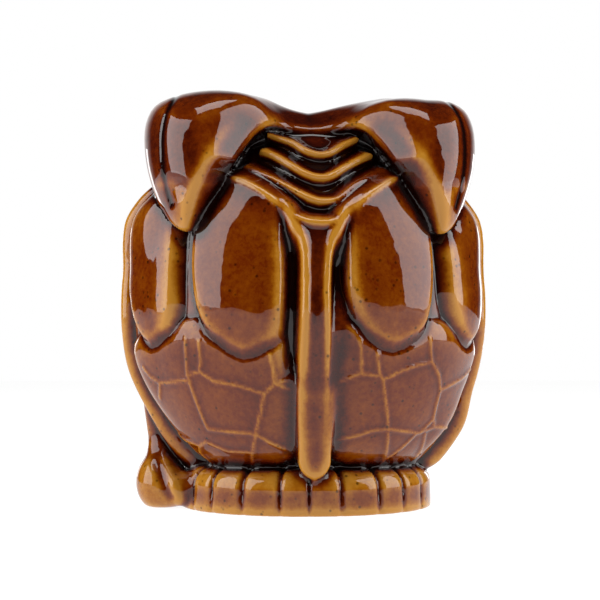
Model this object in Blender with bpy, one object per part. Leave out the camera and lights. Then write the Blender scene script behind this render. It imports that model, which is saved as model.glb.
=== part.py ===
"""A glazed slip-cast coin bank in the form of a plump winged bug, with a soft bung in its base.

The bug's back faces -Y, its face looks along +Y and its foot stands on Z = 0.
"""

import math

import bmesh
import bpy
from mathutils import Vector

MM = 0.001

# Egg-shaped trunk of the body.
BELLY_WIDTH = 102.5 * MM
BELLY_DEPTH = 93.0 * MM
BELLY_LEVEL = 58.0 * MM
CROWN_HEIGHT = 116.5 * MM
SHOULDER_FULLNESS = 2.15

# Foot: a segmented roll under the trunk.
FOOT_WIDTH = 75.0 * MM
FOOT_DEPTH = 72.0 * MM
FOOT_ROLL = 5.8 * MM
FOOT_SEGMENTS = 22

# Hooded lobes over the eyes and the brow that joins them across the crown.
LOBE_REACH = 47.8 * MM
LOBE_TOP = 120.0 * MM
LOBE_TIP_LEVEL = 79.5 * MM
LOBE_TIP_DEPTH = 42.5 * MM
LOBE_ROUNDING = 8.0 * MM
BROW_TOP = 117.0 * MM
BROW_RADIUS = 7.0 * MM

# Wing pads, back ridge, neck folds and wing edges.
WING_LIFT = 4.2 * MM
WING_TOP = 92.0 * MM
WING_BOTTOM = 48.0 * MM
RIDGE_RADIUS = 2.7 * MM
RIDGE_SPACING = 7.0 * MM
FOLD_RADIUS = 2.3 * MM
EDGE_RADIUS = 3.4 * MM
GLOBE_LIFT = 1.6 * MM
GLOBE_TOP = 50.0 * MM
GLOBE_BOTTOM = 14.0 * MM

# Face, belly bands, legs and feet.
EYE_RADIUS = 13.0 * MM
EYE_SPACING = 40.0 * MM
MUZZLE_RADIUS = 11.0 * MM
MOUTH_RADIUS = 1.3 * MM
MOUTH_LINE = ((-13, 45.5, 79), (-7, 47.8, 75), (0, 48.2, 73.5), (7, 47.8, 75), (13, 45.5, 79))
BAND_RADIUS = 2.2 * MM
LEG_RADIUS = 3.2 * MM
TOE_RADIUS = 7.5 * MM

# Casting: wall, coin slot, base hole and the recess around it.
WALL = 5.0 * MM
SLOT_LENGTH = 34.0 * MM
SLOT_WIDTH = 5.0 * MM
SLOT_OFFSET = 4.0 * MM
HOLE_DIAMETER = 30.0 * MM
RECESS_DIAMETER = 50.0 * MM
RECESS_DEPTH = 5.0 * MM
FLOOR_THICKNESS = 5.0 * MM

# Bung.
FIT_CLEARANCE = 0.3 * MM
FLANGE_OVERLAP = 4.0 * MM
FLANGE_THICKNESS = 1.8 * MM
BUNG_WALL = 2.0 * MM
BUNG_REACH = 9.0 * MM
GRIP_HEIGHT = 1.6 * MM
GRIP_WIDTH = 5.0 * MM

VOXEL = 1.5 * MM
BODY_TRIANGLES = 7000
CAVITY_TRIANGLES = 1500


def clear_scene():
    for item in list(bpy.data.objects):
        bpy.data.objects.remove(item)


def material(name, colour, roughness, metallic=0.0):
    made = bpy.data.materials.new(name)
    made.use_nodes = True
    shader = made.node_tree.nodes["Principled BSDF"]
    shader.inputs["Base Color"].default_value = colour
    shader.inputs["Roughness"].default_value = roughness
    shader.inputs["Metallic"].default_value = metallic
    return made


def trunk_scale(z):
    """Width of the trunk at height z as a share of its widest width."""
    if z < BELLY_LEVEL:
        share = min(1.0, (BELLY_LEVEL - z) / BELLY_LEVEL)
        return math.sqrt(max(0.0, 1.0 - share**2))
    share = min(1.0, (z - BELLY_LEVEL) / (CROWN_HEIGHT - BELLY_LEVEL))
    return max(0.0, 1.0 - share**SHOULDER_FULLNESS) ** (1.0 / SHOULDER_FULLNESS)


def on_trunk(azimuth, z, lift=0.0):
    """Point on the trunk at a bearing from -Y in degrees (positive towards +X), raised by lift."""
    angle = math.radians(azimuth)
    across, along = math.sin(angle), -math.cos(angle)
    scale = trunk_scale(z)
    reach = scale / math.hypot(across / (BELLY_WIDTH / 2), along / (BELLY_DEPTH / 2))
    step = 0.5 * MM
    slope = (trunk_scale(z + step) - trunk_scale(z - step)) / (2 * step) * BELLY_WIDTH / 2
    normal = Vector((across, along, -slope)).normalized()
    return Vector((across * reach, along * reach, z)) + normal * lift


def new_object(name, mesh):
    made = bpy.data.objects.new(name, mesh)
    bpy.context.scene.collection.objects.link(made)
    return made


def mesh_object(name, bm):
    bmesh.ops.recalc_face_normals(bm, faces=bm.faces)
    mesh = bpy.data.meshes.new(name)
    bm.to_mesh(mesh)
    bm.free()
    return new_object(name, mesh)


def hull(balls, name="lump"):
    """Convex skin over balls given as (centre, radius)."""
    bm = bmesh.new()
    for centre, radius in balls:
        made = bmesh.ops.create_icosphere(bm, subdivisions=2, radius=radius)
        bmesh.ops.translate(bm, verts=made["verts"], vec=centre)
    result = bmesh.ops.convex_hull(bm, input=bm.verts)
    spare = [v for v in bm.verts if not v.link_faces]
    inside = {v for v in result["geom_interior"] if isinstance(v, bmesh.types.BMVert)}
    bmesh.ops.delete(bm, geom=list(inside.union(spare)), context="VERTS")
    return mesh_object(name, bm)


def roll(points, radius, name="roll", closed=False):
    """Round roll of clay laid along the points."""
    curve = bpy.data.curves.new(name, "CURVE")
    curve.dimensions = "3D"
    curve.bevel_depth = radius
    curve.bevel_resolution = 2
    curve.use_fill_caps = True
    spline = curve.splines.new("POLY")
    spline.points.add(len(points) - 1)
    for place, point in zip(spline.points, points):
        place.co = (*point, 1.0)
    spline.use_cyclic_u = closed
    guide = new_object(name, curve)
    mesh = bpy.data.meshes.new_from_object(guide)
    bpy.data.objects.remove(guide)
    return new_object(name, mesh)


def along_trunk(stops, lift=0.0, steps=6):
    """Points along the trunk's surface through (bearing, height) stops."""
    points = []
    for (a0, z0), (a1, z1) in zip(stops, stops[1:]):
        for index in range(steps):
            t = index / steps
            points.append(on_trunk(a0 + (a1 - a0) * t, z0 + (z1 - z0) * t, lift))
    points.append(on_trunk(*stops[-1], lift))
    return points


def egg(inset, floor, name):
    """The trunk drawn in by inset, cut off flat at height floor."""
    bm = bmesh.new()
    rings, sides = 36, 64
    top = CROWN_HEIGHT - inset
    rows = []
    for row in range(rings):
        z = floor + (top - floor) * math.sin(math.pi / 2 * row / rings)
        scale = trunk_scale(z * CROWN_HEIGHT / top)
        wide = scale * BELLY_WIDTH / 2 - inset
        deep = scale * BELLY_DEPTH / 2 - inset
        wide, deep = max(wide, 3 * MM), max(deep, 3 * MM)
        turn = [2 * math.pi * k / sides for k in range(sides)]
        rows.append([bm.verts.new((wide * math.cos(t), deep * math.sin(t), z)) for t in turn])
    for low, high in zip(rows, rows[1:]):
        for k in range(sides):
            n = (k + 1) % sides
            bm.faces.new((low[k], low[n], high[n], high[k]))
    bm.faces.new(reversed(rows[0]))
    tip = bm.verts.new((0.0, 0.0, top))
    for k in range(sides):
        bm.faces.new((rows[-1][k], rows[-1][(k + 1) % sides], tip))
    return mesh_object(name, bm)


def cylinder(name, diameter, bottom, top, sides=64):
    bm = bmesh.new()
    bmesh.ops.create_cone(
        bm,
        cap_ends=True,
        segments=sides,
        radius1=diameter / 2,
        radius2=diameter / 2,
        depth=top - bottom,
    )
    bmesh.ops.translate(bm, verts=bm.verts, vec=(0.0, 0.0, (top + bottom) / 2))
    return mesh_object(name, bm)


def block(name, low, high, rounding=0.0):
    bm = bmesh.new()
    bmesh.ops.create_cube(bm, size=1.0)
    size = [b - a for a, b in zip(low, high)]
    middle = [(a + b) / 2 for a, b in zip(low, high)]
    bmesh.ops.scale(bm, vec=size, verts=bm.verts)
    if rounding:
        upright = [e for e in bm.edges if abs(e.verts[0].co.z - e.verts[1].co.z) > 1e-9]
        bmesh.ops.bevel(bm, geom=upright, offset=rounding, segments=4, profile=0.5, affect="EDGES")
    bmesh.ops.translate(bm, verts=bm.verts, vec=middle)
    return mesh_object(name, bm)


def join(pieces, name):
    """One object holding the meshes of all the pieces."""
    bm = bmesh.new()
    for piece in pieces:
        bm.from_mesh(piece.data)
        bpy.data.objects.remove(piece)
    mesh = bpy.data.meshes.new(name)
    bm.to_mesh(mesh)
    bm.free()
    return new_object(name, mesh)


def settle(target):
    """Replace the object's mesh by the result of its modifiers."""
    graph = bpy.context.evaluated_depsgraph_get()
    done = bpy.data.meshes.new_from_object(target.evaluated_get(graph))
    target.modifiers.clear()
    target.data = done


def fuse(target, voxel, smoothing, triangles):
    """Melt overlapping lumps into one skin, soften it and thin it to a triangle count."""
    remesh = target.modifiers.new("melt", "REMESH")
    remesh.mode = "VOXEL"
    remesh.voxel_size = voxel
    remesh.use_smooth_shade = True
    soften = target.modifiers.new("soften", "SMOOTH")
    soften.factor = 0.5
    soften.iterations = smoothing
    settle(target)
    target.data.calc_loop_triangles()
    thin = target.modifiers.new("thin", "DECIMATE")
    thin.ratio = min(1.0, triangles / len(target.data.loop_triangles))
    thin.use_collapse_triangulate = True
    settle(target)


def cut(target, cutter, name):
    cutter.name = name
    cutter.hide_render = True
    cutter.display_type = "WIRE"
    boolean = target.modifiers.new(name, "BOOLEAN")
    boolean.operation = "DIFFERENCE"
    boolean.solver = "EXACT"
    boolean.object = cutter


def foot_point(azimuth, z):
    angle = math.radians(azimuth)
    wide = FOOT_WIDTH / 2 - FOOT_ROLL
    deep = FOOT_DEPTH / 2 - FOOT_ROLL
    return Vector((math.sin(angle) * wide, -math.cos(angle) * deep, z))


def lobe(side):
    """Hood with a broad crest, a flat outer face that hangs to a tip and a slanting inner side."""
    full = LOBE_ROUNDING
    crest = LOBE_TOP - full
    outer = LOBE_REACH - full
    tip = 5.5 * MM
    balls = [
        (Vector((side * 24 * MM, -15 * MM, crest)), full),
        (Vector((side * (outer - 1 * MM), -14 * MM, crest - 1 * MM)), full),
        (Vector((side * outer, -20 * MM, crest - 9 * MM)), full),
        (Vector((side * 29 * MM, -29 * MM, crest - 11 * MM)), full - 1 * MM),
        (Vector((side * 35 * MM, -34 * MM, crest - 16 * MM)), full - 1 * MM),
        (Vector((side * 36.5 * MM, tip - LOBE_TIP_DEPTH, LOBE_TIP_LEVEL + tip)), tip),
        (Vector((side * 34 * MM, 12 * MM, crest - 5 * MM)), full + 3 * MM),
    ]
    return hull(balls)


def brow():
    """Low saddle across the crown from lobe to lobe."""
    level = BROW_TOP - BROW_RADIUS
    path = [Vector((x * MM, (-9 - abs(x) / 4) * MM, level + abs(x) / 8 * MM)) for x in range(-24, 25, 6)]
    return roll(path, BROW_RADIUS)


def pillow(outline, lift, edge_fullness=6):
    """Raised pad on the trunk inside a closed outline of (bearing, height) points."""
    bm = bmesh.new()
    count = len(outline)
    middle = [sum(point[k] for point in outline) / count for k in (0, 1)]
    rows = []
    for share in (0.2, 0.45, 0.65, 0.8, 0.9, 0.96, 1.0):
        height = lift * (1.0 - share**edge_fullness)
        row = []
        for bearing, z in outline:
            a = middle[0] + (bearing - middle[0]) * share
            h = middle[1] + (z - middle[1]) * share
            row.append(bm.verts.new(on_trunk(a, h, height)))
        rows.append(row)
    rows.append([bm.verts.new(on_trunk(bearing, z, -3 * MM)) for bearing, z in outline])
    for inner, outer in zip(rows, rows[1:]):
        for k in range(count):
            n = (k + 1) % count
            bm.faces.new((inner[k], inner[n], outer[n], outer[k]))
    for row, height in ((rows[0], lift), (rows[-1], -3 * MM)):
        tip = bm.verts.new(on_trunk(middle[0], middle[1], height))
        for k in range(count):
            bm.faces.new((row[k], row[(k + 1) % count], tip))
    return mesh_object("pillow", bm)


def rounded(corners, steps=5):
    """Closed Catmull-Rom line through the corners."""
    line = []
    count = len(corners)
    for i in range(count):
        p0, p1, p2, p3 = (corners[(i + k) % count] for k in (-1, 0, 1, 2))
        for step in range(steps):
            t = step / steps
            line.append(
                tuple(
                    0.5
                    * (
                        2 * b
                        + (c - a) * t
                        + (2 * a - 5 * b + 4 * c - d) * t**2
                        + (3 * b - a - 3 * c + d) * t**3
                    )
                    for a, b, c, d in zip(p0, p1, p2, p3)
                )
            )
    return line


def wing_pad(side, near, far, top_bearing):
    """Smooth tongue-shaped pad between the bearings near and far."""
    middle = (near + far) / 2
    rim = [
        (top_bearing, WING_TOP),
        ((top_bearing + near) / 2, WING_TOP - 7 * MM),
        (near, WING_TOP - 16 * MM),
        (near, WING_BOTTOM + 14 * MM),
        (near + 4.0, WING_BOTTOM + 3 * MM),
        (middle, WING_BOTTOM - 2 * MM),
        (far - 4.0, WING_BOTTOM + 3 * MM),
        (far, WING_BOTTOM + 14 * MM),
        (far, WING_TOP - 14 * MM),
    ]
    return pillow(rounded([(side * a, z) for a, z in rim]), WING_LIFT)


def hind_globe(side):
    """Big soft bulge below the wing pads, from the back ridge round to the wing edge."""
    rim = [
        (12, GLOBE_TOP),
        (45, GLOBE_TOP + 6 * MM),
        (78, GLOBE_TOP),
        (79, GLOBE_TOP - 18 * MM),
        (68, GLOBE_BOTTOM + 8 * MM),
        (45, GLOBE_BOTTOM),
        (18, GLOBE_BOTTOM + 1 * MM),
        (11, GLOBE_BOTTOM + 9 * MM),
    ]
    return pillow(rounded([(side * a, z) for a, z in rim]), GLOBE_LIFT, 5)


def back_features():
    """Everything on the bug's back, on the -Y side."""
    made = [brow()]
    half = math.degrees(RIDGE_SPACING / BELLY_DEPTH)
    for side in (-1, 1):
        made.append(lobe(side))
        made.append(wing_pad(side, 11.0, 40.5, 31.0))
        made.append(wing_pad(side, 46.5, 76.0, 68.0))
        made.append(hind_globe(side))
        arm = [(side * 34, 95 * MM), (side * 21, 90 * MM), (side * 9.5, 84 * MM)]
        stem = [(side * (half + 1), 76 * MM), (side * half, 66 * MM), (side * half, 14 * MM)]
        made.append(roll(along_trunk(arm + stem, 1.2 * MM), RIDGE_RADIUS))
        edge = [(side * 86, 93 * MM), (side * 89, 58 * MM), (side * 86, 36 * MM)]
        edge.append((side * 80, 12 * MM))
        made.append(roll(along_trunk(edge, 1.0 * MM), EDGE_RADIUS))
    for outer, outer_level, apex_level in ((38, 109, 102), (29, 103, 95), (32, 98, 88.5)):
        fold = [(-outer, outer_level * MM), (0, apex_level * MM), (outer, outer_level * MM)]
        made.append(roll(along_trunk(fold, 0.3 * MM), FOLD_RADIUS))
    made.append(roll(along_trunk([(0, 80 * MM), (0, 16 * MM)], 0.0, 12), RIDGE_RADIUS))
    end = [on_trunk(0, 18 * MM, 1.2 * MM), foot_point(0, 11 * MM) + Vector((0, -4.0 * MM, 0))]
    made.append(roll(end, RIDGE_RADIUS * 1.3))
    return made


def front_features():
    """Face, belly bands, legs and feet, on the +Y side."""
    made = []
    for side in (-1, 1):
        eye = Vector((side * EYE_SPACING / 2, 29 * MM, 96 * MM))
        made.append(hull([(eye, EYE_RADIUS)]))
        for level in (72, 58, 44):
            leg = [(side * 98, (level + 6) * MM), (side * 122, (level + 2) * MM)]
            leg.append((side * 150, (level - 5) * MM))
            made.append(roll(along_trunk(leg, 1.4 * MM), LEG_RADIUS))
            paw = on_trunk(side * 151, (level - 5.5) * MM, 1.8 * MM)
            made.append(hull([(paw, LEG_RADIUS * 1.35)]))
    muzzle = Vector((0.0, 37 * MM, 80 * MM))
    made.append(hull([(muzzle + Vector((s * 7 * MM, 0, 0)), MUZZLE_RADIUS) for s in (-1, 1)]))
    for level in (56, 46, 36, 26):
        band = [(158, level * MM), (180, (level - 2) * MM), (202, level * MM)]
        made.append(roll(along_trunk(band, 0.8 * MM), BAND_RADIUS))
    splayed = [(Vector((-38 * MM, 6 * MM, 9 * MM)), TOE_RADIUS)]
    splayed.append((Vector((-42 * MM, -3 * MM, 7 * MM)), TOE_RADIUS))
    splayed.append((Vector((-42.5 * MM, 2 * MM, 19 * MM)), TOE_RADIUS * 0.7))
    splayed.append((Vector((-44 * MM, 4 * MM, 28 * MM)), TOE_RADIUS * 0.7))
    tucked = [(Vector((24 * MM, 30 * MM, 8 * MM)), TOE_RADIUS)]
    tucked.append((Vector((26 * MM, 37 * MM, 7 * MM)), TOE_RADIUS))
    made.append(hull(splayed))
    made.append(hull(tucked))
    return made


def foot_ring():
    """Roll of rounded segments around the bottom of the trunk."""
    made = []
    pitch = 360.0 / FOOT_SEGMENTS
    for index in range(FOOT_SEGMENTS):
        balls = []
        for turn in (-0.2, 0.2):
            bearing = (index + 0.5 + turn) * pitch - 2.0
            balls.append((foot_point(bearing, 12.5 * MM - FOOT_ROLL), FOOT_ROLL))
            balls.append((foot_point(bearing, 0.0), FOOT_ROLL))
        made.append(hull(balls))
    made.append(cylinder("sole", min(FOOT_WIDTH, FOOT_DEPTH) - 2 * FOOT_ROLL, -4 * MM, 20 * MM))
    return made


def ceramic_body(glaze):
    lumps = [egg(0.0, 2 * MM, "trunk")] + foot_ring() + back_features() + front_features()
    body = join(lumps, "ceramic_body")
    fuse(body, VOXEL, 3, BODY_TRIANGLES)

    hollow = [egg(WALL, RECESS_DEPTH + FLOOR_THICKNESS, "trunk_hollow")]
    for side in (-1, 1):
        inner = Vector((side * (LOBE_REACH - 14.4 * MM), -8 * MM, LOBE_TOP - 18 * MM))
        hollow.append(hull([(inner, 9 * MM), (inner + Vector((0, 14 * MM, 0)), 9 * MM)]))
    cavity = join(hollow, "cavity")
    fuse(cavity, 2.5 * MM, 2, CAVITY_TRIANGLES)

    reach = 200 * MM
    ground = block("ground", (-reach, -reach, -reach), (reach, reach, 0.0))
    recess = cylinder("recess", RECESS_DIAMETER, -10 * MM, RECESS_DEPTH)
    hole = cylinder("hole", HOLE_DIAMETER, -10 * MM, RECESS_DEPTH + FLOOR_THICKNESS + 8 * MM)
    slot = block(
        "slot",
        (-SLOT_LENGTH / 2, SLOT_OFFSET - SLOT_WIDTH / 2, CROWN_HEIGHT - 4 * WALL),
        (SLOT_LENGTH / 2, SLOT_OFFSET + SLOT_WIDTH / 2, CROWN_HEIGHT + 4 * WALL),
        SLOT_WIDTH * 0.35,
    )
    smile = [Vector((x, y, z)) * MM for x, y, z in MOUTH_LINE]
    mouth = roll(smile, MOUTH_RADIUS)
    cut(body, ground, "cut_ground")
    cut(body, cavity, "cut_cavity")
    cut(body, recess, "cut_recess")
    cut(body, hole, "cut_hole")
    cut(body, slot, "cut_slot")
    cut(body, mouth, "cut_mouth")
    body.data.materials.clear()
    body.data.materials.append(glaze)
    return body


def bung(rubber):
    """Soft stopper: a flange under the floor, a hollow plug in the hole and a grip bar."""
    radius = HOLE_DIAMETER / 2 - FIT_CLEARANCE
    seat = RECESS_DEPTH - FIT_CLEARANCE
    top = seat + FLOOR_THICKNESS + BUNG_REACH
    flange = HOLE_DIAMETER / 2 + FLANGE_OVERLAP
    under = seat - FLANGE_THICKNESS
    core = radius - BUNG_WALL
    lead = 1.5 * MM
    outline = [
        (0.0, under),
        (flange - 0.5 * MM, under),
        (flange, under + 0.5 * MM),
        (flange, seat - 0.3 * MM),
        (flange - 0.3 * MM, seat),
        (radius, seat),
        (radius, top - lead),
        (radius - lead / 2, top),
        (core, top),
        (core, seat + BUNG_WALL),
        (0.0, seat + BUNG_WALL),
    ]
    bm = bmesh.new()
    verts = [bm.verts.new((x, 0.0, z)) for x, z in outline]
    edges = [bm.edges.new(pair) for pair in zip(verts, verts[1:])]
    bmesh.ops.spin(
        bm,
        geom=verts + edges,
        cent=(0.0, 0.0, 0.0),
        axis=(0.0, 0.0, 1.0),
        angle=2 * math.pi,
        steps=48,
        use_merge=True,
    )
    bmesh.ops.remove_doubles(bm, verts=bm.verts, dist=1e-6)
    plug = mesh_object("stopper", bm)
    plug.data.materials.append(rubber)
    grip = block(
        "grip",
        (-radius * 0.7, -GRIP_WIDTH / 2, under - GRIP_HEIGHT),
        (radius * 0.7, GRIP_WIDTH / 2, under + 0.6 * MM),
        GRIP_WIDTH * 0.4,
    )
    grip.hide_render = True
    grip.display_type = "WIRE"
    union = plug.modifiers.new("grip", "BOOLEAN")
    union.operation = "UNION"
    union.solver = "EXACT"
    union.object = grip
    return plug


clear_scene()
treacle = material("treacle_glaze", (0.20, 0.055, 0.010, 1.0), 0.12)
black_pvc = material("black_soft_pvc", (0.025, 0.024, 0.023, 1.0), 0.55)
ceramic_body(treacle)
bung(black_pvc)
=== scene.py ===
"""Visual model of the glazed bug coin bank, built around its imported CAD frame."""

import math

import bmesh
import bpy
import numpy as np
import openvdb
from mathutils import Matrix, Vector


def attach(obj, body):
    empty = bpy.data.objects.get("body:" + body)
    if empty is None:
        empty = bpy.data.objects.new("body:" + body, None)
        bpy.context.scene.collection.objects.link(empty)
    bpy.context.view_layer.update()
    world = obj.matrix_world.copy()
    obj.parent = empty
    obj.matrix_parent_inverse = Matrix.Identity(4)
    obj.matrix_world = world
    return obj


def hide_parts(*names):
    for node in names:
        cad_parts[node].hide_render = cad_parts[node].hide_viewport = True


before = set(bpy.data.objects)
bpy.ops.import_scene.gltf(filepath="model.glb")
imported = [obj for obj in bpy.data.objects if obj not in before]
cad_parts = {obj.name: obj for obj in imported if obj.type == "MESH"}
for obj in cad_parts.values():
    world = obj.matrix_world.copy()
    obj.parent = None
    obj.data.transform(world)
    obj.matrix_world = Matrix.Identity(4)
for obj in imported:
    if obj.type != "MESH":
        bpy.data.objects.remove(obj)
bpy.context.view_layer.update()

# --------------------------- sizes, in mm; the trunk's match the CAD part's own
HALF_WIDTH = 51.25
HALF_DEPTH = 46.5
BELLY = 58.0
CROWN = 116.5
FULLNESS = 2.15
FOOT_X = 37.5
FOOT_Y = 36.0
SLOT_HALF = 17.0
SLOT_RADIUS = 2.5
SLOT_Y = 4.0
HOLE_RADIUS = 15.0
RECESS_RADIUS = 25.0
RECESS_DEPTH = 5.0
FLOOR_TOP = 10.0
WALL = 5.0
EYE = (20, 29.5, 96)
EYE_RADIUS = 13.0
LID_RADIUS = 14.2
HOOD_ROUND = 13.0
HOOD_NOSE = 22.0
TAIL_RADIUS = 3.4
FOOT_KNUCKLES = 22
STEP = 0.75  # grid of the outer surface
CAVITY_STEP = 2.0
MM = 0.001  # metres
REACH = 9.0  # how far from the trunk's skin the relief can matter

F = np.float32


# ------------------------------------------------------------ shape functions
def smin(a, b, k):
    """Union of two shapes with a fillet of about k."""
    h = np.clip(0.5 + 0.5 * (b - a) / k, 0, 1)
    return b * (1 - h) + a * h - k * h * (1 - h)


def smax(a, b, k):
    """Intersection of two shapes with an edge rounded by about k."""
    return -smin(-a, -b, k)


def ease(x, low, high):
    """0 below low, 1 above high, smooth between."""
    t = np.clip((x - low) / (high - low), 0, 1)
    return t * t * (3 - 2 * t)


def crest(gap, width):
    """1 on a line, falling away over the width."""
    return np.exp(-((gap / width) ** 2))


def ball(x, y, z, c, r):
    return np.sqrt((x - c[0]) ** 2 + (y - c[1]) ** 2 + (z - c[2]) ** 2) - r


def capsule(x, y, z, a, b, ra, rb):
    """Distance to a tapering rounded bar from a to b."""
    d = [b[i] - a[i] for i in range(3)]
    n = sum(v * v for v in d)
    t = np.clip(((x - a[0]) * d[0] + (y - a[1]) * d[1] + (z - a[2]) * d[2]) / n, 0, 1)
    gap = np.sqrt(
        (x - a[0] - t * d[0]) ** 2 + (y - a[1] - t * d[1]) ** 2 + (z - a[2] - t * d[2]) ** 2
    )
    return gap - (ra + (rb - ra) * t)


def path_gap(x, y, z, points):
    """Distance to a line through points in space."""
    gap = None
    for a, b in zip(points, points[1:]):
        d = capsule(x, y, z, a, b, 0.0, 0.0)
        gap = d if gap is None else np.minimum(gap, d)
    return gap


def trunk(x, y, z, grow=0.0):
    """Distance to the egg-shaped trunk."""
    up = z > BELLY
    n = np.where(up, FULLNESS, 2.0).astype(F)
    h = np.where(up, CROWN - BELLY, BELLY).astype(F)
    s = np.abs(z - BELLY) / h + 1e-6
    q = np.sqrt((x / HALF_WIDTH) ** 2 + (y / HALF_DEPTH) ** 2) + 1e-6
    big = (q**n + s**n) ** (1 / n)
    gq = (q / big) ** (n - 1)
    gs = (s / big) ** (n - 1)
    gx = gq * x / (HALF_WIDTH**2 * q)
    gy = gq * y / (HALF_DEPTH**2 * q)
    gz = gs / h
    return (big - 1) / np.sqrt(gx * gx + gy * gy + gz * gz) - grow


class Skin:
    """Flat map of the trunk: bearing from the back (degrees) and height, measured in mm along it."""

    def __init__(self, x, y, z):
        self.b = np.degrees(np.arctan2(x, -y))
        self.z = z
        self.su = np.maximum(np.hypot(x, y), 6.0) * (math.pi / 180)
        slope = np.where(z > BELLY, (z - BELLY) / (CROWN - BELLY), (BELLY - z) / BELLY)
        self.sv = 1 / np.sqrt(np.maximum(1 - np.clip(slope, 0, 1) ** 4 * 0.75, 0.2))

    def near(self, points, pad):
        bs = [p[0] for p in points]
        zs = [p[1] for p in points]
        pad_b = pad / self.su
        return (
            (self.b > min(bs) - pad_b)
            & (self.b < max(bs) + pad_b)
            & (self.z > min(zs) - pad)
            & (self.z < max(zs) + pad)
        )

    def line(self, points, pad=6.0):
        """Distance in mm to a line of (bearing, height) points, and far away a big number."""
        out = np.full(self.b.shape, 99.0, F)
        m = self.near(points, pad)
        if not m.any():
            return out
        b, z, su, sv = self.b[m], self.z[m], self.su[m], self.sv[m]
        best = np.full(b.shape, 99.0, F)
        for (b0, z0), (b1, z1) in zip(points, points[1:]):
            dx, dy = (b1 - b0) * su, (z1 - z0) * sv
            px, py = (b - b0) * su, (z - z0) * sv
            t = np.clip((px * dx + py * dy) / (dx * dx + dy * dy + 1e-9), 0, 1)
            best = np.minimum(best, np.hypot(px - t * dx, py - t * dy))
        out[m] = best
        return out

    def inside(self, points, pad=8.0):
        """Depth inside a closed outline, in mm: positive within, negative outside."""
        out = np.full(self.b.shape, -99.0, F)
        m = self.near(points, pad)
        if not m.any():
            return out
        b, z, su, sv = self.b[m], self.z[m], self.su[m], self.sv[m]
        best = np.full(b.shape, 99.0, F)
        odd = np.zeros(b.shape, bool)
        for (b0, z0), (b1, z1) in zip(points, points[1:] + points[:1]):
            dx, dy = (b1 - b0) * su, (z1 - z0) * sv
            px, py = (b - b0) * su, (z - z0) * sv
            t = np.clip((px * dx + py * dy) / (dx * dx + dy * dy + 1e-9), 0, 1)
            best = np.minimum(best, np.hypot(px - t * dx, py - t * dy))
            if z0 != z1:
                crosses = (z0 > z) != (z1 > z)
                odd ^= crosses & (b < b0 + (z - z0) * (b1 - b0) / (z1 - z0))
        out[m] = np.where(odd, best, -best)
        return out


def flow(points, steps=5, closed=False):
    """Catmull-Rom line through the points."""
    n = len(points)
    line = []
    for i in range(n if closed else n - 1):
        if closed:
            q = [points[(i + k) % n] for k in (-1, 0, 1, 2)]
        else:
            q = [points[min(max(i + k, 0), n - 1)] for k in (-1, 0, 1, 2)]
        for s in range(steps):
            t = s / steps
            line.append(
                tuple(
                    0.5 * (2 * b + (c - a) * t + (2 * a - 5 * b + 4 * c - d) * t * t
                           + (3 * b - a - 3 * c + d) * t**3)
                    for a, b, c, d in zip(*q)
                )
            )
    if not closed:
        line.append(tuple(points[-1]))
    return line


# ------------------------------------- the back, as (bearing, height) outlines
WINGS = [
    flow([(-38.0, 96.0), (-33.3, 97.6), (-26.0, 95.8), (-18.4, 92.6), (-12.2, 88.2), (-11.4, 83.0),
          (-11.4, 77.0), (-10.4, 70.2), (-10.3, 62.5), (-10.8, 54.9), (-12.8, 49.8), (-17.9, 46.8),
          (-25.4, 44.9), (-32.7, 48.3), (-38.6, 52.1), (-42.4, 58.8), (-44.4, 66.6), (-45.4, 72.8),
          (-46.2, 79.5), (-46, 88.0)], 2, True),
    flow([(37.0, 96.0), (31.6, 97.4), (23.8, 94.6), (17.0, 90.8), (11.6, 86.6), (9.7, 80.2),
          (9.2, 72.2), (9.5, 63.9), (11.2, 57.4), (15.1, 51.7), (20.1, 48.4), (26.0, 46.8),
          (32.6, 48.8), (38.2, 51.9), (41.4, 58.9), (43.2, 69.1), (44.2, 78.0), (44.2, 86.0)], 2, True),
    flow([(-66, 98), (-57, 90), (-52.8, 79.0), (-51.0, 70.1), (-50.2, 59.5), (-52.0, 53.0),
          (-57.0, 50.0), (-64.0, 47.7), (-70.0, 51.6), (-74.0, 58.1), (-77.0, 66.6), (-78.0, 78),
          (-76.5, 90)], 2, True),
    flow([(64, 98), (54, 89), (49.8, 79.8), (48.6, 72.0), (48.4, 62.4), (51.0, 56.3), (56.0, 50.7),
          (63.0, 47.8), (70.0, 50.8), (75, 58.0), (77.5, 68), (77.5, 80), (74, 91)], 2, True),
]
GLOBES = [
    flow([(-9.6, 50), (-9.8, 25), (-12.5, 16), (-35, 12.0), (-62, 12.5), (-73, 23), (-79, 38),
          (-78, 50), (-48, 55.5), (-14, 55)], 3, True),
    flow([(7.6, 50), (7.8, 25), (11, 16), (35, 12.0), (60, 12.5), (70, 23), (77, 38),
          (77, 50), (47, 55.5), (12, 55)], 3, True),
]
RIDGE_L = flow([(-33.5, 94.9), (-26.7, 93.2), (-19.5, 90.3), (-13.1, 86.7), (-9.6, 83.6),
                (-7.4, 80.2), (-5.3, 76.8), (-4.3, 72.9), (-4.0, 68.0), (-3.9, 59.8), (-4.1, 49.0),
                (-4.7, 36.8), (-5.4, 24.4)], 2)
RIDGE_R = flow([(32.5, 95.2), (24.4, 92.3), (18.0, 89.2), (12.6, 86.0), (8.8, 82.6), (6.2, 78.8),
                (4.5, 74.1), (3.6, 69.1), (3.1, 62.6), (3.3, 54.4), (3.8, 43.6), (3.9, 32.7),
                (4.3, 21.5)], 2)
YOKE = flow([(-9.6, 83.4), (-4, 81.6), (0, 81.2), (4, 81.2), (8.8, 82.4)], 2)
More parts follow.
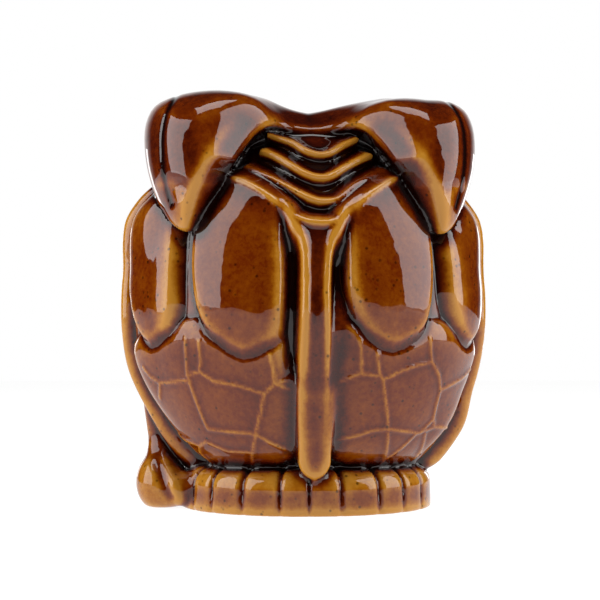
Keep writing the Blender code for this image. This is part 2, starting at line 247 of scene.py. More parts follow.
COLUMN = [(-8.6, 14.0), (-8.4, 28), (-8.0, 40), (-7.5, 52), (-7.1, 64), (-6.9, 73), (-7.7, 78.6),
          (-9.8, 83.4), (-5, 84.2), (0, 83.6), (4, 83.6), (8.8, 82.6), (6.8, 78.4), (5.5, 73),
          (5.0, 64), (5.2, 52), (5.5, 40), (5.5, 28), (5.6, 14.0)]
FOLDS = [
    flow([(-25.5, 108.0), (-12.4, 105.7), (-4.5, 103.0), (2.4, 101.7), (8.6, 102.5), (16.5, 105.0),
          (26.0, 107.2)], 3),
    flow([(-26.0, 103.0), (-19.0, 101.2), (-10.7, 98.2), (-4.4, 95.8), (1.5, 94.6), (6.6, 95.2),
          (13.6, 97.8), (21.7, 100.3), (28.4, 102.0)], 3),
    flow([(-31.0, 97.9), (-21.5, 95.3), (-14.2, 92.8), (-6.7, 89.8), (-0.6, 87.8), (4.0, 87.5),
          (8.8, 88.4), (16.2, 92.4), (24.6, 95.4), (32.0, 97.2)], 3),
]
EDGES = [
    flow([(-80, 102), (-84.5, 90), (-86.5, 78), (-87.5, 66), (-88, 54), (-88, 44), (-87.5, 32),
          (-85, 20), (-82, 12)], 3),
    flow([(78, 102), (82, 90), (84.5, 78), (85.5, 66), (86, 54), (86, 44), (85, 32), (83.5, 20),
          (82, 12)], 3),
]
VEINS = [
    [(-46.3, 50), (-46.7, 43.6), (-47.5, 39.4), (-46.8, 37.5)],
    [(-40.9, 49), (-40.8, 43.6), (-42.0, 40.3)],
    [(-70, 41.5), (-67.0, 38.8), (-62.5, 37.1), (-48.5, 37.8), (-47.0, 36.9)],
    [(-62.5, 37.1), (-66.2, 32.7)],
    [(-47.5, 39.4), (-42.0, 40.3), (-37.0, 37.8), (-27.7, 36.5), (-18.8, 34.3)],
    [(-16.1, 45.5), (-15.0, 40.3), (-14.9, 37.1), (-18.8, 34.3)],
    [(-14.9, 37.1), (-10.2, 38.2)], [(-14.9, 37.1), (-10.2, 35.7)],
    [(-18.8, 34.3), (-20.8, 29.3), (-24.5, 23.1)],
    [(-47.0, 36.9), (-46.4, 32.2), (-45.8, 27.3), (-45.5, 24.2), (-34.9, 23.5), (-24.5, 23.1)],
    [(-24.5, 23.1), (-19.2, 20.6), (-13.4, 18.9)], [(-24.5, 23.1), (-27.5, 18.5), (-31.5, 14.0)],
    [(-65.3, 20.5), (-55.0, 19.1), (-49.6, 20.4), (-40.5, 17.9), (-28.0, 17.6)],
    [(-55.0, 19.1), (-58.7, 16.9), (-57.8, 13.0)], [(-65.3, 20.5), (-71, 22.5)],
    [(13.8, 49.1), (14.8, 44.2), (15.2, 40.1), (11.1, 38.7), (7.8, 37.6)],
    [(15.3, 39.8), (20.9, 39.2)],
    [(20.2, 45.2), (21.6, 39.8), (23.4, 38.1), (30.0, 40.6), (35.9, 42.0), (42.4, 43.1)],
    [(40.6, 50), (41.2, 45.9), (42.4, 43.1), (47.2, 39.4), (50.1, 35.1), (50.8, 30.8), (52.6, 26.5),
     (49.2, 23.7)],
    [(50.1, 35.1), (57.9, 37.0), (63.3, 38.4), (70, 41)], [(23.4, 38.1), (25.6, 32.6), (30.1, 24.3)],
    [(8.9, 21.4), (16.9, 22.5), (23.0, 23.9), (30.1, 24.3), (37.6, 23.6), (46.9, 22.8),
     (51.9, 23.6), (56.0, 24.3), (66.8, 23.8)],
    [(56.0, 24.3), (51.9, 27.6)], [(30.3, 24.0), (33.9, 18.2), (36.6, 14.9), (36.6, 12.6)],
    [(46.0, 22.6), (42.4, 18.9), (36.6, 14.9)], [(52.1, 22.4), (57.0, 17.5), (62, 12.6)],
]
# ------------------------- the hood over the eyes, as (half width, height) lines
HOOD_TOP = flow([(-12, 114.0), (0, 111.2), (8, 115.2), (16, 119.0), (24, 120.8), (32, 120.8),
                 (39.5, 119.6), (45.4, 117.0), (48.0, 111.6), (48.2, 104.5), (47.0, 97.0), (44.8, 90),
                 (42.4, 84.0), (40.0, 79.2), (37.4, 76.9), (35.6, 76.5)], 3)
HOOD_LIP = flow([(43.4, 86.0), (41.4, 81.0), (38.0, 77.4), (34.2, 77.6), (30.8, 81.4), (27.4, 89.4),
                 (22.8, 98), (19.0, 104.2), (15.4, 108.6), (10, 111.5), (0, 113.2), (-10, 114)], 4)
HOOD_GROOVE = flow([(38.5, 120.5), (39.8, 117), (41.7, 112.4), (42.7, 107), (42.6, 99.3), (41.8, 92.9),
                    (39.9, 86.5)], 2)


# ------------------------------------------------ the front, bearings near 180
BELLY_BANDS = [62, 52, 42, 32, 22]
LEGS = [(76, 69), (61, 54), (46, 39)]  # heights at the outer and the inner end
BROW = [(0, -7, 108.5), (22, -12, 111.0)]
BROW_RADIUS = 8.6
MUZZLE = [(0, 37, 80), (7, 37, 80)]
MUZZLE_RADII = (11.2, 10.6)
SMILE = [(-13, 45.5, 79), (-7, 47.8, 75), (0, 48.2, 73.5), (7, 47.8, 75), (13, 45.5, 79)]


def with_bulges(height, s, x, z):
    """The two rounded bulges low on the back, with their raised veins."""
    for outline in GLOBES:
        depth = s.inside(outline)
        rise = 1 - (1 - np.clip(depth / 9, 0, 1)) ** 2.2
        near = crest(x, 16) * (1 - ease(z, 38, 54))
        low = -1.5 + 1.9 * near
        bulge = low + (1.7 - low) * np.sqrt(rise + 0.01) + 1.2 * np.minimum(depth, 0)
        height = smax(height, bulge.astype(F), 0.6)
    veins = np.full(x.shape, 99.0, F)
    for line in VEINS:
        veins = np.minimum(veins, s.line(line, 4.0))
    return height + 0.40 * crest(veins, 0.55) - 0.08 * crest(veins, 1.8)


def with_folds(height, s):
    """The chevron folds of the neck."""
    for line in FOLDS:
        gap = s.line(line, 10.0)
        height = smax(height, (-2.1 + 3.5 * crest(gap, 1.9)).astype(F), 0.7)
    return height


def with_pads(height, s, z, arms):
    """The four wing pads, each with a bevelled rim and a thin hollow round it."""
    for outline in WINGS:
        depth = s.inside(outline)
        shade = crest(depth + 0.8, 1.0) * (depth > -90) * (1 - ease(z, 81, 86))
        height = height - 0.45 * shade
        bevel = 0.5 + 1.5 * depth
        face = 2.2 + 1.1 * (1 - (1 - np.clip(depth / 13, 0, 1)) ** 2)
        face = face + 0.9 * crest(arms, 3.4) * ease(z, 79, 85)
        height = smax(height, smin(bevel, face, 2.0).astype(F), 0.6)
    return height


def with_ridge(height, s, x, z, arms):
    """The Y-shaped ridge: a flat column with raised edges that part into two arms."""
    depth = s.inside(COLUMN)
    trench = crest(depth + 1.4, 1.7) * (depth > -90)
    deep = np.where(x < 0, ease(z, 34, 48), ease(z, 50, 68))
    height = height - 2.1 * deep * trench * (1 - ease(z, 70, 79))
    beside = crest(x, 13) * (1 - deep) * ease(z, 12, 20)
    height = smax(height, (-2.0 + 3.2 * beside).astype(F), 0.8)
    plateau = smin(-0.8 + 1.9 * depth, 2.0 + 0 * depth, 1.4)
    height = smax(height, plateau.astype(F), 0.6)
    upper = ease(z, 36, 60)
    height = height + (0.35 + 0.75 * upper) * crest(arms, 1.25) * ease(z, 20, 34)
    arms = np.minimum(arms, s.line(YOKE, 8.0) + 0.6)
    roll = smax(height, (3.4 - 0.30 * arms**2).astype(F), 1.2)
    return height + (roll - height) * ease(z, 68, 80)


def with_edges(height, s):
    """The rolled wing edge down each side, with a groove on both sides of it."""
    for line in EDGES:
        gap = s.line(line, 12.0)
        groove = 1.3 * crest(gap - 4.6, 1.2)
        rim = -1.0 + 4.4 * np.sqrt(np.clip(1 - (gap / 4.0) ** 2, 0.01, 1))
        rim = rim - 1.6 * np.maximum(gap - 4.0, 0)
        height = smax(height - groove, rim.astype(F), 0.6)
    return height


def back_relief(x, y, z):
    """Height in mm of the modelling on the back above the trunk, in places below it."""
    s = Skin(x, y, z)
    neck = ease(z, 82, 88) * (1 - ease(z, 107, 112))
    arms = np.minimum(s.line(RIDGE_L, 8.0), s.line(RIDGE_R, 8.0))
    height = (-0.9 - 1.3 * neck).astype(F)
    height = with_bulges(height, s, x, z)
    height = with_folds(height, s)
    height = with_pads(height, s, z, arms)
    height = with_ridge(height, s, x, z, arms)
    height = with_edges(height, s)
    return height * ease(-y, -6, 6)


def front_relief(x, y, z):
    """Height in mm of the belly bands and the three pairs of legs above the trunk."""
    s = Skin(-x, -y, z)
    height = np.zeros(x.shape, F)
    for level in BELLY_BANDS:
        band = flow([(-34, level + 3.5), (-18, level + 0.8), (0, level), (18, level + 0.8),
                     (34, level + 3.5)], 3)
        gap = s.line(band, 8.0)
        height = np.maximum(height, 2.6 * np.sqrt(np.clip(1 - (gap / 5.4) ** 2, 0, 1)))
    for side in (-1, 1):
        for outer, inner in LEGS:
            thigh = flow([(side * 72, outer + 1), (side * 60, outer + 3), (side * 47, outer - 1)], 3)
            shank = flow([(side * 49, outer - 1), (side * 38, inner + 3), (side * 27, inner)], 3)
            claw = shank[-2:]
            for bone, width, lump in ((thigh, 4.4, 4.6), (shank, 3.3, 4.2), (claw, 4.3, 5.2)):
                gap = s.line(bone, 8.0)
                roll = lump * np.sqrt(np.clip(1 - (gap / width) ** 2, 0.003, 1))
                roll = roll - 0.9 * np.maximum(gap - width, 0)
                groove = 0.5 * crest(gap - width - 0.7, 0.8)
                height = smax(height - groove, (roll - 0.25).astype(F), 0.5)
    return height * ease(y, 0, 8)


def flat_gap(x, z, points, side=None):
    """Distance in the front view to a line; with side, positive to its left."""
    best = np.full(x.shape, 1e9, F)
    turn = np.zeros(x.shape, F)
    for (x0, z0), (x1, z1) in zip(points, points[1:]):
        dx, dz = x1 - x0, z1 - z0
        px, pz = x - x0, z - z0
        t = np.clip((px * dx + pz * dz) / (dx * dx + dz * dz), 0, 1)
        gap = np.hypot(px - t * dx, pz - t * dz)
        nearer = gap < best
        best = np.where(nearer, gap, best)
        turn = np.where(nearer, dx * pz - dz * px, turn)
    return best if side is None else np.where(turn * side > 0, best, -best)


def lobes(x, y, z):
    """The hood: two lobes that droop over the eyes behind, joined by one saddle."""
    d = np.full(x.shape, 9.0, F)
    m = z > 72
    ax, y, z = np.abs(x[m]), y[m], z[m]
    lift = 0.3 * ease(-x[m], 6, 22) + 1.4 * crest(x[m] + 12, 5.5)
    lift = lift - 1.5 * ease(x[m], 6, 20) * (1 - ease(x[m], 32, 42))
    top = flat_gap(ax, z - lift, HOOD_TOP, -1)
    lip = flat_gap(ax, z, HOOD_LIP, -1)
    lobe = ease(ax, 4, 22)
    # a rounded slab: rounding at the outline, towards the back of the bug and towards its eyes
    round_off = 0.019 * np.maximum(ax - 25, 0) ** 2 + 0.0125 * (z - 96) ** 2
    face = -43.0 + round_off * lobe + (14.0 + 0.34 * (z - 96)) * (1 - lobe)
    rim = (8.5 + 2.5 * lobe) * (1 - 0.52 * ease(-z, -93, -82))
    u = np.maximum(rim - top, 0) / rim
    v = np.maximum(face + HOOD_ROUND - y, 0) / HOOD_ROUND
    w = np.maximum(y - 2, 0) / HOOD_NOSE
    q = np.sqrt(u * u + v * v + w * w) + 1e-6
    slope = np.sqrt((u / rim) ** 2 + (v / HOOD_ROUND) ** 2 + (w / HOOD_NOSE) ** 2) / q
    hood = (q - 1) / np.maximum(slope, 1e-3)
    # the bevel along the lip and the hollow underside
    base = -36.2 + 0.62 * np.maximum(z - 100, 0) + 0.22 * np.maximum(92 - z, 0)
    bevel = (base - 0.95 * lip - y) / 1.4
    hood = smax(hood, smax(bevel, -lip, 1.5), 1.8 + 2.4 * ease(z, 98, 110))
    under = (75.6 + 21 * ease(y, -44, 0) - z) / 1.18
    hood = smax(hood, under, 3.0)
    groove = flat_gap(ax, z, HOOD_GROOVE)
    d[m] = hood + 0.35 * crest(groove, 0.6) * (y < 0)
    return d


def foot(x, y, z):
    """The segmented roll the bank stands on."""
    r = np.hypot(x / FOOT_X, y / FOOT_Y) * 36.75
    half_r, half_z, round_r = 7.6, 8.6, 5.6
    qr = np.abs(r - 29.2) - (half_r - round_r)
    qz = np.abs(z - 4.2) - (half_z - round_r)
    d = np.hypot(np.maximum(qr, 0), np.maximum(qz, 0)) + np.minimum(np.maximum(qr, qz), 0) - round_r
    pitch = 360 / FOOT_KNUCKLES
    b = np.degrees(np.arctan2(x, -y))
    b = b + 1.7 * np.sin(np.radians(7 * b + 40)) + 1.2 * np.sin(np.radians(3 * b))
    from_groove = (np.mod(b + 2.0 + pitch / 2, pitch) - pitch / 2) * 36 * math.pi / 180
    outer = ease(r, 27, 32) * (0.55 + 0.45 * ease(z, 1, 8))
    return d + outer * (0.85 * crest(from_groove, 0.7) + 0.25 * crest(from_groove, 2.0))


def fullness(x, y, z):
    """Extra roundness at the sides, more at the shoulders."""
    across = x / (np.hypot(x, y) + 1e-3)
    shoulder = 2.6 * ease(np.abs(across), 0.82, 0.98) * ease(z, 68, 86) * (1 - ease(z, 85, 99))
    left = 1.7 * ease(-across, 0.86, 0.99) * ease(z, 24, 44) * (1 - ease(z, 92, 100))
    right = 2.0 * ease(across, 0.80, 0.97) * (1 - ease(z, 22, 36)) * ease(z, 8, 14)
    return shoulder, left, right


def tail(x, y, z):
    """The free lower end of the back ridge, flat at the sides and round at the tip."""
    middle = np.zeros_like(x)
    bar = capsule(middle, y, z, (0, -40.8, 34), (0, -38.1, 22), TAIL_RADIUS, TAIL_RADIUS)
    tip = capsule(middle, y, z, (0, -38.1, 22), (0, -35.4, 13.4), TAIL_RADIUS, TAIL_RADIUS)
    sides = np.abs(x + 0.2) - 4.5 + 0.11 * np.maximum(15.6 - z, 0) ** 2
    return smax(np.minimum(bar, tip), sides, 2.4)


def splayed_foot(x, y, z):
    """The foot that sticks out on the left, with its shin and two creases."""
    leg = capsule(x, y, z, (-46.6, 3, 38), (-43.2, 1, 19), 3.4, 4.0)
    sole = ball(x, y * 0.85, z * 0.86, (-43.2, -1, 6.6), 7.7)
    d = smin(sole, capsule(x, y, z, (-43, -4, 6), (-37.5, -9, 6), 6.0, 5.2), 3)
    d = smin(d, leg, 5)
    outer = path_gap(x, y, z, [(-46.5, -4, 21), (-44.5, -8, 13), (-40.5, -12.5, 4)])
    inner = path_gap(x, y, z, [(-41.5, -5, 20), (-38.5, -11, 13), (-36.5, -15, 5)])
    return d + 0.8 * crest(np.minimum(outer, inner), 1.7)


def tucked_foot(x, y, z):
    """The foot tucked under the belly, with three toes."""
    d = capsule(x, y, z, (22, 28, 8.5), (24.5, 35, 7.0), 7.6, 6.8)
    for reach in (-5.2, 0.0, 5.2):
        root = (24.5 + reach * 0.7, 34, 5.2)
        tip = (25.6 + reach, 40.5 - abs(reach) * 0.35, 4.4)
        d = smin(d, capsule(x, y, z, root, tip, 4.0, 3.6), 0.9)
    return d


def eyes(x, y, z):
    """Two balls with a ringed pupil, half under a lid."""
    ax = np.abs(x)
    d = ball(ax, y, z, EYE, EYE_RADIUS)
    ahead = (ax - EYE[0]) * 0.22 + (y - EYE[1]) * 0.96 + (z - EYE[2]) * -0.12
    from_ring = EYE_RADIUS * np.arccos(np.clip(ahead / np.maximum(d + EYE_RADIUS, 0.5), -1, 1)) - 5.6
    d = d + (0.8 * crest(from_ring, 0.8)) * (np.abs(d) < 3)
    lid_edge = (99.5 + 0.10 * (ax - EYE[0]) - z) / 1.01
    lid = smax(ball(ax, y, z, EYE, LID_RADIUS), lid_edge, 0.9)
    return smin(d, lid, 0.4)


def coin_slot(x, y, z):
    along = np.maximum(np.abs(x) - (SLOT_HALF - SLOT_RADIUS), 0)
    return np.maximum(np.hypot(along, y - SLOT_Y) - SLOT_RADIUS, 98 - z)


def body(x, y, z):
    """Distance-like function of the whole casting, solid inside."""
    d = trunk(x, y, z)
    close = np.abs(d) < REACH
    rise = np.zeros(x.shape, F)
    xs, ys, zs = x[close], y[close], z[close]
    rise[close] = np.where(ys < 0, back_relief(xs, ys, zs), front_relief(xs, ys, zs))
    shoulder, left, right = fullness(x, y, z)
    d = d - rise - shoulder - left - right
    ax = np.abs(x)
    d = smin(d, capsule(ax, y, z, *BROW, BROW_RADIUS, BROW_RADIUS), 4)
    d = smin(d, tail(x, y, z), 4.0)
    d = smin(d, foot(x, y, z), 1.5 + 0.8 * ease(-y, 0, 20))
    d = smin(d, lobes(x, y, z), 0.6 + 7.0 * ease(z, 104, 111))
    d = smin(d, splayed_foot(x, y, z), 1.4)
    d = smin(d, tucked_foot(x, y, z), 1.2)
    d = smin(d, eyes(x, y, z), 0.6)
    d = smin(d, capsule(ax, y, z, *MUZZLE, *MUZZLE_RADII), 1.5)
    d = d + 1.5 * crest(path_gap(x, y, z, SMILE), 1.3)
    d = smax(d, -coin_slot(x, y, z), 1.6)
    r = np.hypot(x, y)
    d = smax(d, -z, 1.0)
    d = smax(d, -np.maximum(r - RECESS_RADIUS, z - RECESS_DEPTH), 0.8)
    d = smax(d, -np.maximum(r - HOLE_RADIUS, z - 18), 0.8)
    return d.astype(F)


def hollow(x, y, z):
    """The space inside the casting."""
    d = trunk(x, y, z, -WALL)
    ax = np.abs(x)
    d = smin(d, capsule(ax, y, z, (31, -10, 104), (31, 2, 104), 7.0, 7.0), 4)
    return smax(d, FLOOR_TOP - z, 2).astype(F)


# ------------------------------------------------------------- polygonisation
def sample(shape, low, high, step):
    """The function on a grid, row by row, so that each batch stays small."""
    axes = [np.arange(a, b + step, step, dtype=F) for a, b in zip(low, high)]
    grid = np.empty([len(a) for a in axes], F)
    yy, zz = np.meshgrid(axes[1], axes[2], indexing="ij")
    for i in range(0, len(axes[0]), 4):
        xs = axes[0][i:i + 4]
        x = np.repeat(xs, yy.size)
        y = np.tile(yy.ravel(), len(xs))
        z = np.tile(zz.ravel(), len(xs))
        grid[i:i + 4] = shape(x, y, z).reshape(len(xs), *yy.shape)
    return grid


def polygons(shape, low, high, step, pull=3):
    """Closed quad mesh of the surface where the shape is zero."""
    grid = sample(shape, low, high, step)
    vdb = openvdb.FloatGrid(9.0)
    vdb.copyFromArray(np.clip(grid, -9, 9))
    points, quads = vdb.convertToQuads(0.0)
    points = np.asarray(points, float) * step + np.array(low)
    for _ in range(pull):
        at = shape(*points.T.astype(F)).astype(float)
        slope = np.zeros_like(points)
        for k in range(3):
            shift = np.zeros(3)
            shift[k] = 0.12
            ahead = shape(*(points + shift).T.astype(F))
            behind = shape(*(points - shift).T.astype(F))
            slope[:, k] = (ahead - behind) / 0.24
        size = np.maximum((slope**2).sum(1), 0.15)
        move = slope * (at / size)[:, None]
        length = np.linalg.norm(move, axis=1, keepdims=True)
        points -= move * np.minimum(1, 0.35 * step / np.maximum(length, 1e-9))
    return grid, points, np.asarray(quads)


def blur(grid, step, sigma):
    reach = max(1, int(round(2.5 * sigma / step)))
    taps = np.exp(-0.5 * (np.arange(-reach, reach + 1) * step / sigma) ** 2)
    taps /= taps.sum()
    for axis in range(3):
        padded = np.pad(grid, [(reach, reach) if k == axis else (0, 0) for k in range(3)], "edge")
        size = grid.shape[axis]
        grid = sum(
            w * np.take(padded, range(i, i + size), axis) for i, w in enumerate(taps)
        ).astype(F)
    return grid


def look_up(grid, low, step, points):
    """Trilinear value of the grid at the points."""
    q = (points - np.array(low)) / step
    q = np.clip(q, 0, np.array(grid.shape) - 1.001)
    i = q.astype(int)
    f = q - i
    out = 0.0
    for a in (0, 1):
        for b in (0, 1):
            for c in (0, 1):
                w = (
                    (f[:, 0] if a else 1 - f[:, 0])
                    * (f[:, 1] if b else 1 - f[:, 1])
                    * (f[:, 2] if c else 1 - f[:, 2])
                )
                out = out + w * grid[i[:, 0] + a, i[:, 1] + b, i[:, 2] + c]
    return out


def mesh_from(name, points, quads):
    mesh = bpy.data.meshes.new(name)
    mesh.from_pydata((points * MM).tolist(), [], quads.tolist())
    mesh.validate()
    made = bpy.data.objects.new(name, mesh)
    bpy.context.scene.collection.objects.link(made)
    return made


def face_outwards(made):
    bm = bmesh.new()
    bm.from_mesh(made.data)
    bmesh.ops.recalc_face_normals(bm, faces=bm.faces)
    bm.to_mesh(made.data)
    bm.free()


def cut_out(made, cavity):
    """Take the cavity away from the solid and delete its own object."""
    boolean = made.modifiers.new("hollow", "BOOLEAN")
    boolean.operation = "DIFFERENCE"
    boolean.solver = "MANIFOLD"
    boolean.object = cavity
    graph = bpy.context.evaluated_depsgraph_get()
    made.data = bpy.data.meshes.new_from_object(made.evaluated_get(graph))
    made.modifiers.clear()
    bpy.data.objects.remove(cavity)


def glaze_pool_and_shade(grid, co):
    """How the glaze gathers: near 0 on crests, where it runs thin, and near 1 in hollows; painted shade
    is added on the neck under the hood and along the lobes' lip.
    """
    solid = np.clip(0.5 - grid / STEP, 0, 1).astype(F)
    fullness_at = []
    for skip, sigma in ((1, 1.2), (2, 2.4), (3, 5.0)):
        coarse = solid[::skip, ::skip, ::skip].copy()
        fullness_at.append(look_up(blur(coarse, STEP * skip, sigma), LOW, STEP * skip, co) - 0.5)
    fine, middle, wide = fullness_at
    pooled_and_shaded = 1.15 * fine + 1.55 * middle - 0.45 * wide
    pooled_and_shaded = np.where(pooled_and_shaded > 0, pooled_and_shaded * 0.80, pooled_and_shaded * 1.32)
    x, y, z = co.T
    # thinner on the foot roll, and painted shade darkening the back from the neck up, under and on the
    # hood
    pooled_and_shaded = pooled_and_shaded - 0.06 * (z < 12.5) * ease(np.hypot(x, y), 30, 34)
    pooled_and_shaded = pooled_and_shaded + 0.10 * ease(z, 84, 98) * ease(-y, -4, 8)
    flat_x, flat_z = np.abs(x).astype(F), z.astype(F)
    from_lip = flat_gap(flat_x, flat_z, HOOD_LIP, -1)
    on_lobe = ease(-y, 27, 30) * (1 - ease(z, 106, 113)) * ease(np.abs(x), 16, 22)
    # painted shade: darker along the lobes' overhanging lip; the band inside it is lighter, thinner
    # glaze on the crest
    pooled_and_shaded = pooled_and_shaded + 0.30 * crest(from_lip, 1.8) * on_lobe
    pooled_and_shaded = pooled_and_shaded - 0.20 * crest(from_lip - 6.8, 1.6) * on_lobe
    # thin on the inner rims of the outer pads, dark in the seam of each lobe
    turn = np.abs(np.degrees(np.arctan2(x, -y)))
    pooled_and_shaded = pooled_and_shaded - 0.12 * crest(turn - 54, 4) * ease(z, 48, 54) * (1 - ease(z, 78, 88))
    seam = flat_gap(flat_x, flat_z, HOOD_GROOVE)
    pooled_and_shaded = pooled_and_shaded + 0.22 * crest(seam, 0.8) * (y < -8)
    return np.clip(pooled_and_shaded + 0.5, 0, 1).astype(F)


LOW, HIGH = (-59.0, -53.0, -3.0), (59.0, 55.0, 124.0)
CAVITY_LOW, CAVITY_HIGH = (-50, -46, 5), (50, 46, 118)

grid, points, quads = polygons(body, LOW, HIGH, STEP)
bank = mesh_from("glazed_bank", points, quads)
_, inner_points, inner_quads = polygons(hollow, CAVITY_LOW, CAVITY_HIGH, CAVITY_STEP)
cavity = mesh_from("cavity", inner_points, inner_quads)
face_outwards(bank)
face_outwards(cavity)
cut_out(bank, cavity)
bank.data.shade_smooth()

co = np.empty(len(bank.data.vertices) * 3, F)
bank.data.vertices.foreach_get("co", co)
co = co.reshape(-1, 3).astype(float) / MM
layer = bank.data.attributes.new("glaze_pool_and_shade", "FLOAT", "POINT")
layer.data.foreach_set("value", glaze_pool_and_shade(grid, co))


# ------------------------------------------------------------------ materials
def fill(node, values):
    for key, value in values.items():
        node.inputs[key].default_value = value


def nodes_of(name, values):
    """New material with the values set on its shader."""
    made = bpy.data.materials.new(name)
    made.use_nodes = True
    tree = made.node_tree
    shader = tree.nodes["Principled BSDF"]
    fill(shader, values)
    return made, tree, shader


def add(tree, kind, values=None, **settings):
    node = tree.nodes.new(kind)
    for key, value in settings.items():
        setattr(node, key, value)
    fill(node, values or {})
    return node


def noise(tree, where, scale, detail=2.0, roughness=0.5):
    node = add(tree, "ShaderNodeTexNoise", {"Scale": scale, "Detail": detail, "Roughness": roughness})
    tree.links.new(where, node.inputs["Vector"])
    return node.outputs["Fac"]


def spread(tree, value, width):
    """The noise stretched to a band of the given width round zero."""
    node = add(tree, "ShaderNodeMath", {1: width, 2: -width / 2}, operation="MULTIPLY_ADD")
    tree.links.new(value, node.inputs[0])
    return node.outputs[0]


def added(tree, a, b):
    node = add(tree, "ShaderNodeMath", operation="ADD")
    tree.links.new(a, node.inputs[0])
    tree.links.new(b, node.inputs[1])
    return node.outputs[0]


def ranged(tree, value, limits):
    node = add(tree, "ShaderNodeMapRange", limits)
    tree.links.new(value, node.inputs["Value"])
    return node.outputs[0]


def bumped(tree, height, strength, distance):
    node = add(tree, "ShaderNodeBump", {"Strength": strength, "Distance": distance})
    tree.links.new(height, node.inputs["Height"])
    return node.outputs["Normal"]


GLAZE_COLOURS = [
    (0.16, (0.50, 0.215, 0.022)),
    (0.29, (0.36, 0.120, 0.005)),
    (0.40, (0.215, 0.046, 0.0008)),
    (0.50, (0.130, 0.0165, 0.0004)),
    (0.61, (0.050, 0.004, 0.0004)),
    (0.76, (0.008, 0.0010, 0.0005)),
]


def glaze_material():
    """Treacle glaze: amber where it is thin, nearly black where it pools and where painted shade is
    added, under a clear coat.
    """
    made, tree, shader = nodes_of("treacle_glaze", {
        "Roughness": 0.4, "Specular IOR Level": 0.0, "IOR": 1.5,
        "Coat Weight": 1.0, "Coat Roughness": 0.035, "Coat IOR": 1.49,
    })
    link = tree.links.new
    where = add(tree, "ShaderNodeTexCoord").outputs["Object"]
    pool_and_shade = add(tree, "ShaderNodeAttribute", attribute_name="glaze_pool_and_shade")
    cloud = spread(tree, noise(tree, where, 70.0, 5.0, 0.6), 0.20)
    grain = spread(tree, noise(tree, where, 650.0, 3.0, 0.7), 0.22)
    depth = added(tree, pool_and_shade.outputs["Fac"], added(tree, cloud, grain))
    ramp = add(tree, "ShaderNodeValToRGB")
    while len(ramp.color_ramp.elements) < len(GLAZE_COLOURS):
        ramp.color_ramp.elements.new(0.5)
    for element, (place, colour) in zip(ramp.color_ramp.elements, GLAZE_COLOURS):
        element.position = place
        element.color = (*colour, 1.0)
    link(depth, ramp.inputs["Fac"])
    # scattered dark specks
    speck = add(tree, "ShaderNodeTexVoronoi", {"Scale": 420.0})
    link(where, speck.inputs["Vector"])
    dot = ranged(tree, speck.outputs["Distance"],
                 {"From Min": 0.12, "From Max": 0.24, "To Min": 0.35, "To Max": 1.0})
    few = ranged(tree, noise(tree, where, 160.0), {"From Min": 0.50, "From Max": 0.56})
    spots = add(tree, "ShaderNodeMix", data_type="RGBA", blend_type="MULTIPLY")
    link(few, spots.inputs["Factor"])
    link(ramp.outputs["Color"], spots.inputs["A"])
    link(dot, spots.inputs["B"])
    link(spots.outputs["Result"], shader.inputs["Base Color"])
    wavy = bumped(tree, noise(tree, where, 110.0), 0.25, 0.0006)
    link(wavy, shader.inputs["Normal"])
    link(wavy, shader.inputs["Coat Normal"])
    return made


def pvc_material():
    """Dull black soft plastic of the bung."""
    made, tree, shader = nodes_of("black_soft_pvc", {"IOR": 1.45})
    link = tree.links.new
    where = add(tree, "ShaderNodeTexCoord").outputs["Object"]
    grain = noise(tree, where, 900.0, 4.0)
    tone = add(tree, "ShaderNodeValToRGB")
    tone.color_ramp.elements[0].color = (0.018, 0.017, 0.016, 1)
    tone.color_ramp.elements[1].color = (0.036, 0.034, 0.032, 1)
    link(grain, tone.inputs["Fac"])
    link(tone.outputs["Color"], shader.inputs["Base Color"])
    link(ranged(tree, grain, {"To Min": 0.45, "To Max": 0.65}), shader.inputs["Roughness"])
    link(bumped(tree, grain, 0.3, 0.0002), shader.inputs["Normal"])
    return made


bank.data.materials.clear()
bank.data.materials.append(glaze_material())
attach(bank, "bank")
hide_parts("ceramic_body")
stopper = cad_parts["stopper"]
stopper.material_slots[0].material = pvc_material()


# ---------------------------------------------------- floor, lights and camera
AIM_HEIGHT = 0.06
scene = bpy.context.scene


def studio_floor():
    bpy.ops.mesh.primitive_plane_add(size=6.0, location=(0, 0, 0))
    floor = bpy.context.active_object
    floor.name = "floor"
    paper, _, _ = nodes_of("white_paper", {
        "Base Color": (0.22, 0.22, 0.22, 1), "Roughness": 0.9,
        "Emission Color": (1, 1, 1, 1), "Emission Strength": 0.93,
    })
    floor.data.materials.append(paper)


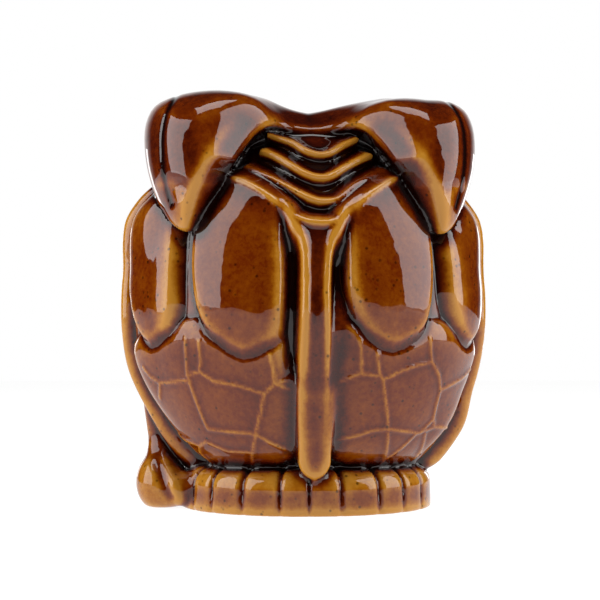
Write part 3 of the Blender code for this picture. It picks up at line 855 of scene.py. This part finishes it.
def studio_world():
    """White behind the bank and dark around it, so that only the lamps show in the glaze."""
    world = bpy.data.worlds.new("studio")
    scene.world = world
    world.use_nodes = True
    tree = world.node_tree
    background = tree.nodes["Background"]
    background.inputs["Strength"].default_value = 1.0
    around = add(tree, "ShaderNodeTexCoord")
    split = add(tree, "ShaderNodeSeparateXYZ")
    tree.links.new(around.outputs["Generated"], split.inputs[0])
    fade = add(tree, "ShaderNodeMapRange", interpolation_type="SMOOTHSTEP")
    fill(fade, {"From Min": 0.70, "From Max": 0.95, "To Min": 0.015, "To Max": 1.0})
    tree.links.new(split.outputs["Y"], fade.inputs["Value"])
    sight = add(tree, "ShaderNodeLightPath")
    either = add(tree, "ShaderNodeMath", operation="MAXIMUM")
    tree.links.new(fade.outputs[0], either.inputs[0])
    tree.links.new(sight.outputs["Is Camera Ray"], either.inputs[1])
    tree.links.new(either.outputs[0], background.inputs["Color"])


def place(made, location, quaternion):
    made.location = location
    made.rotation_mode = "QUATERNION"
    made.rotation_quaternion = quaternion
    scene.collection.objects.link(made)


def softbox(name, bearing, height, distance, size, power):
    """Lamp at a bearing from the camera's side, turned to the middle of the bank."""
    light = bpy.data.lights.new(name, "AREA")
    light.shape = "RECTANGLE"
    light.size, light.size_y = size
    light.energy = power
    angle = math.radians(bearing)
    location = Vector((math.sin(angle) * distance, -math.cos(angle) * distance, height))
    middle = Vector((0, 0, AIM_HEIGHT))
    place(bpy.data.objects.new(name, light), location, (middle - location).to_track_quat("-Z", "Y"))


def camera_at(bearing, distance, height, tilt):
    data = bpy.data.cameras.new("camera")
    data.sensor_width = 36.0
    data.lens = 89.1
    data.shift_x = -0.01
    made = bpy.data.objects.new("camera", data)
    location = (math.sin(bearing) * distance, -math.cos(bearing) * distance, height)
    level = math.cos(tilt)
    ahead = Vector((-math.sin(bearing) * level, math.cos(bearing) * level, math.sin(tilt)))
    place(made, location, ahead.to_track_quat("-Z", "Y"))
    scene.camera = made


studio_floor()
studio_world()
for side, name in ((-1, "left"), (1, "right")):
    softbox(name + "_box", side * 76, 0.48, 0.95, (0.80, 0.98), 9.4)
    softbox(name + "_rim", side * 150, 0.12, 0.95, (0.12, 0.22), 0.22)
softbox("top_box", 0, 1.2, 0.15, (0.9, 0.5), 6)
camera_at(math.radians(-4.0), 0.45, 0.043, math.radians(2.4))
scene.view_settings.view_transform = "Standard"
